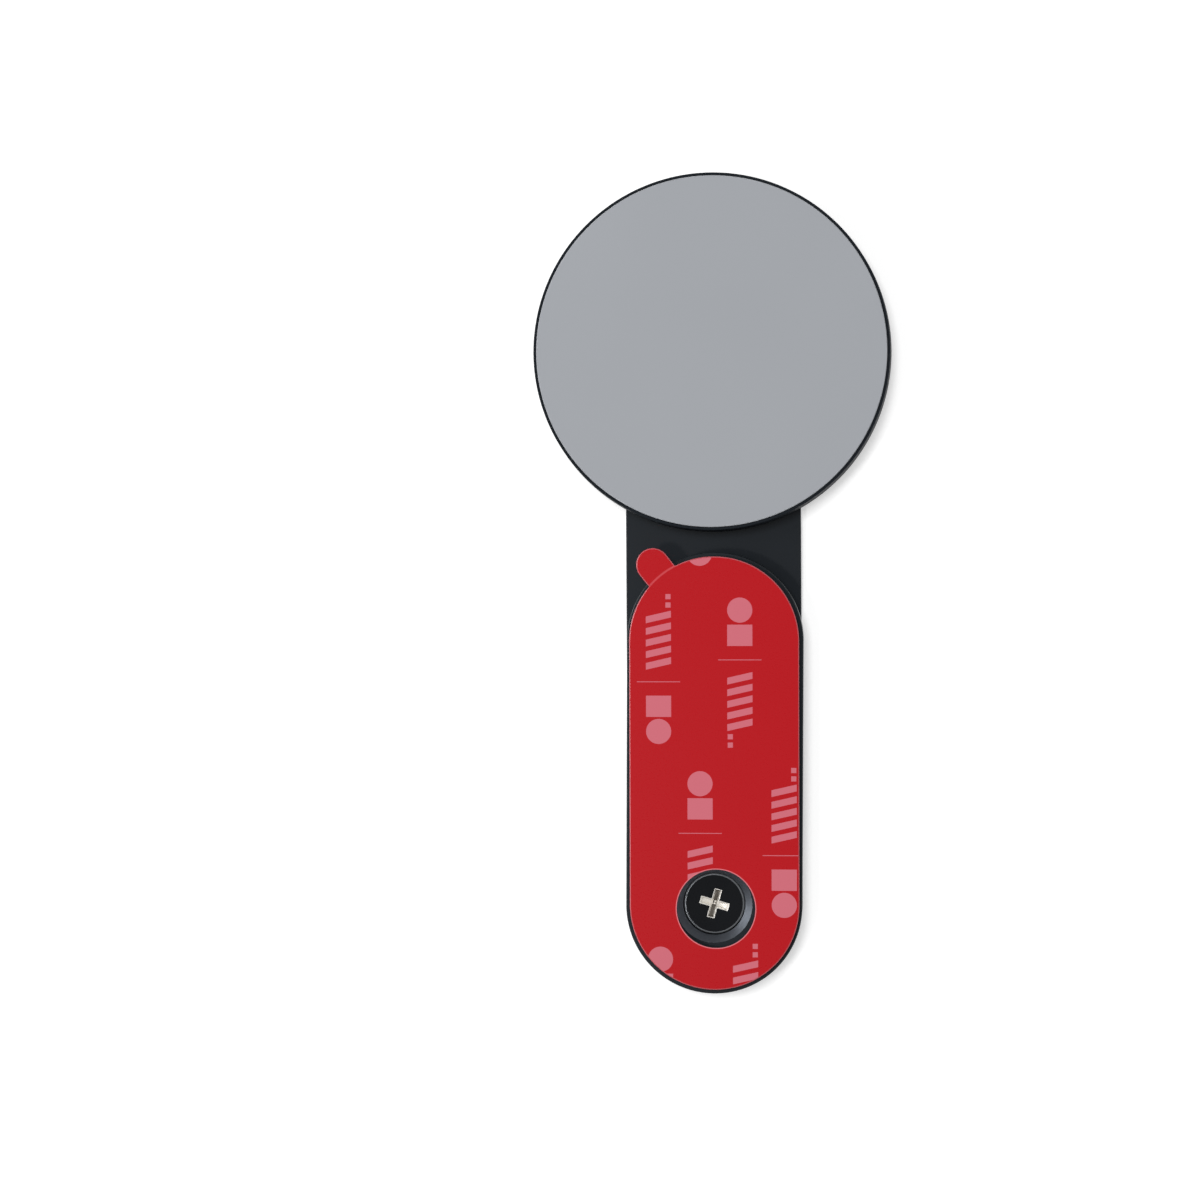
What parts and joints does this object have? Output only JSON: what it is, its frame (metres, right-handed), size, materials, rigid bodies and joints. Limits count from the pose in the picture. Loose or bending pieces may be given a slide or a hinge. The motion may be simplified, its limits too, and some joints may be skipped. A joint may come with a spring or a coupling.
{
  "type": "magnetic phone holder",
  "caption": "Flat bar arm with a round magnetic head for a phone, turning on a screw under a base plate with foam tape and a release liner.",
  "frame": {"origin": "on the surface that the holder lies on, under the middle of its length and width", "axes": "+Y along the arm from the pivot towards the magnet head, +Z out of the tape and the magnet face, +X to the right as seen from above"},
  "size_m": [0.0558, 0.1276, 0.0076],
  "materials": {
    "anodised": "black anodised, satin",
    "foam": "acrylic foam, matt",
    "film": "thin polyester film, low gloss",
    "silicone": "silicone, matt",
    "adhesive": "clear adhesive",
    "moulding": "moulded nylon",
    "steel": "zinc plated",
    "magnet_plating": "nickel plated",
    "blacked": "blackened, bare in the recess"
  },
  "bodies": {
    "base": {"base_plate": "anodised", "foam_tape": "foam", "release_liner": "film", "flat_washer": "steel"},
    "arm": {"arm": "anodised", "head_shell": "anodised", "face_pad": "silicone", "pad_adhesive": "adhesive", "magnet_carrier": "moulding", "friction_washer": "moulding", "yoke_ring": "steel", "wave_washer": "steel", "pivot_bush": "steel", "pivot_screw": "blacked", "magnet_01": "magnet_plating", "magnet_02": "magnet_plating", "magnet_03": "magnet_plating", "magnet_04": "magnet_plating", "magnet_05": "magnet_plating", "magnet_06": "magnet_plating", "magnet_07": "magnet_plating", "magnet_08": "magnet_plating", "magnet_09": "magnet_plating", "magnet_10": "magnet_plating", "magnet_11": "magnet_plating", "magnet_12": "magnet_plating", "magnet_13": "magnet_plating", "magnet_14": "magnet_plating", "magnet_15": "magnet_plating", "magnet_16": "magnet_plating", "head_screw_1": "steel", "head_screw_2": "steel", "head_screw_3": "steel", "head_screw_4": "steel"}
  },
  "joints": [
    {"name": "arm_pivot", "type": "hinge", "parent": "base", "child": "arm", "pos_m": [0, -0.0499, 0.002], "axis": [0, 0, 1], "continuous": true}
  ]
}
